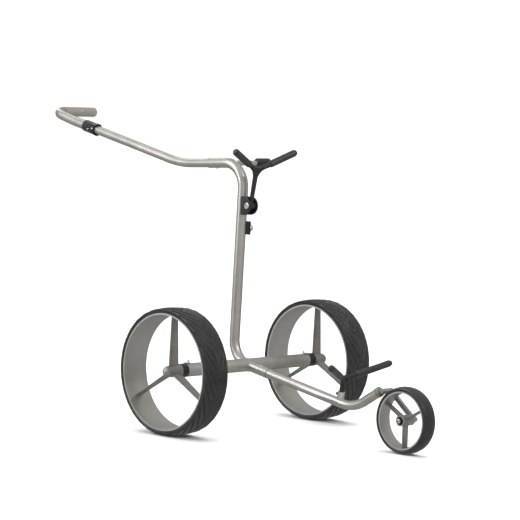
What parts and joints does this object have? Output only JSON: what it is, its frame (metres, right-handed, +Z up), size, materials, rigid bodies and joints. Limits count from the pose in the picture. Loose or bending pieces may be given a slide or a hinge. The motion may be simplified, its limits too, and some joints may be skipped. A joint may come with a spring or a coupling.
{
  "type": "golf push cart",
  "caption": "Three-wheel golf push cart with a bent tube frame, folding bag brackets, a one-sided front fork and a sideways L-shaped grip.",
  "frame": {"origin": "on the floor, under the middle of the overall box", "axes": "+X forward to the front wheel, +Y to the cart's left, the side of the grip, +Z up"},
  "size_m": [1.3524, 0.5554, 0.7628],
  "materials": {
    "brushed_tube": "satin brushed metal tube with faint lengthwise grain",
    "rim_alloy": "satin machined alloy with a bright edge",
    "spoke_alloy": "satin cast alloy, warm grey",
    "tyre_rubber": "smooth dark rubber with a soft sheen",
    "black_plastic": "fine-grained moulded plastic",
    "soft_rubber": "soft matt rubber",
    "bright_steel": "bright plated fasteners"
  },
  "bodies": {
    "chassis": {"spine_tube": "brushed_tube", "handle_tube": "brushed_tube", "front_tube": "brushed_tube", "handle_leaf_spring": "bright_steel", "front_leaf_spring": "bright_steel", "axle_tube": "brushed_tube", "axle_coupler_right": "black_plastic", "wheel_axle_right": "bright_steel", "release_spring_right": "bright_steel", "axle_coupler_left": "black_plastic", "wheel_axle_left": "bright_steel", "release_spring_left": "bright_steel", "axle_clips": "bright_steel", "fork_arm": "spoke_alloy", "front_axle_bolt": "bright_steel", "front_axle_nut": "bright_steel", "front_axle_spacer": "bright_steel", "hinge_block": "black_plastic", "block_screws": "bright_steel", "hinge_bolt": "bright_steel", "hinge_nut": "bright_steel", "stop_pad": "soft_rubber", "stop_screw": "bright_steel", "lower_socket": "brushed_tube", "lower_knob": "black_plastic", "accessory_post": "brushed_tube", "accessory_cap": "black_plastic"},
    "wheel_right": {"tyre_right": "tyre_rubber", "rim_right": "rim_alloy", "wheel_spider_right": "spoke_alloy", "hub_nose_right": "spoke_alloy", "wheel_bearings_right": "bright_steel"},
    "wheel_left": {"tyre_left": "tyre_rubber", "rim_left": "rim_alloy", "wheel_spider_left": "spoke_alloy", "hub_nose_left": "spoke_alloy", "wheel_bearings_left": "bright_steel"},
    "front_wheel": {"front_tyre": "tyre_rubber", "front_rim": "rim_alloy", "front_spider": "spoke_alloy", "front_bearings": "bright_steel"},
    "upper_bracket": {"upper_yoke": "black_plastic", "upper_sleeve_right": "soft_rubber", "upper_sleeve_left": "soft_rubber", "upper_nubs": "soft_rubber"},
    "lower_bracket": {"lower_yoke": "black_plastic", "lower_sleeve_right": "soft_rubber", "lower_sleeve_left": "soft_rubber", "lower_nubs": "soft_rubber"},
    "clamp": {"clamp_collar": "black_plastic", "clamp_screws": "bright_steel"},
    "crook": {"crook_tube": "brushed_tube", "grip_end": "brushed_tube", "grip_rivet": "bright_steel"},
    "handle_button": {"handle_snap_button": "bright_steel"},
    "front_button": {"front_snap_button": "bright_steel"},
    "release_right": {"release_pin_right": "bright_steel", "release_lever_right": "bright_steel"},
    "release_left": {"release_pin_left": "bright_steel", "release_lever_left": "bright_steel"}
  },
  "joints": [
    {"name": "wheel_right_spin", "type": "hinge", "parent": "chassis", "child": "wheel_right", "pos_m": [0.0889, -0.2425, 0.15], "axis": [0, 1, 0], "continuous": true},
    {"name": "wheel_left_spin", "type": "hinge", "parent": "chassis", "child": "wheel_left", "pos_m": [0.0889, 0.2425, 0.15], "axis": [0, 1, 0], "continuous": true},
    {"name": "front_wheel_spin", "type": "hinge", "parent": "chassis", "child": "front_wheel", "pos_m": [0.5999, 0, 0.0763], "axis": [0, 1, 0], "continuous": true},
    {"name": "upper_bracket_fold", "type": "hinge", "parent": "chassis", "child": "upper_bracket", "pos_m": [0.0849, 0, 0.535], "axis": [0, 1, 0], "range_deg": [0, 155]},
    {"name": "lower_bracket_turn", "type": "hinge", "parent": "chassis", "child": "lower_bracket", "pos_m": [0.39672, 0, 0.09328], "axis": [0.1812, 0, 0.9834], "range_deg": [-90, 90]},
    {"name": "handle_slide", "type": "slide", "parent": "chassis", "child": "clamp", "axis": [-0.9737, 0, 0.228], "range_m": [-0.02, 0.025]},
    {"name": "grip_turn", "type": "hinge", "parent": "clamp", "child": "crook", "pos_m": [-0.50879, 0, 0.70969], "axis": [-0.9737, 0, 0.228], "range_deg": [-90, 90]},
    {"name": "handle_button_press", "type": "slide", "parent": "chassis", "child": "handle_button", "axis": [-0.038, 0, 0.9993], "range_m": [0, 0.0033], "stiffness_N_per_m": 1200, "springref_m": -0.002, "deforming": ["handle_leaf_spring"]},
    {"name": "front_button_press", "type": "slide", "parent": "chassis", "child": "front_button", "axis": [-0.1812, 0, -0.9834], "range_m": [0, 0.0033], "stiffness_N_per_m": 1200, "springref_m": -0.002, "deforming": ["front_leaf_spring"]},
    {"name": "release_right_lift", "type": "slide", "parent": "chassis", "child": "release_right", "axis": [0, 0, 1], "range_m": [0, 0.003], "stiffness_N_per_m": 800, "springref_m": -0.002, "deforming": ["release_spring_right"]},
    {"name": "release_left_lift", "type": "slide", "parent": "chassis", "child": "release_left", "axis": [0, 0, 1], "range_m": [0, 0.003], "stiffness_N_per_m": 800, "springref_m": -0.002, "deforming": ["release_spring_left"]}
  ]
}
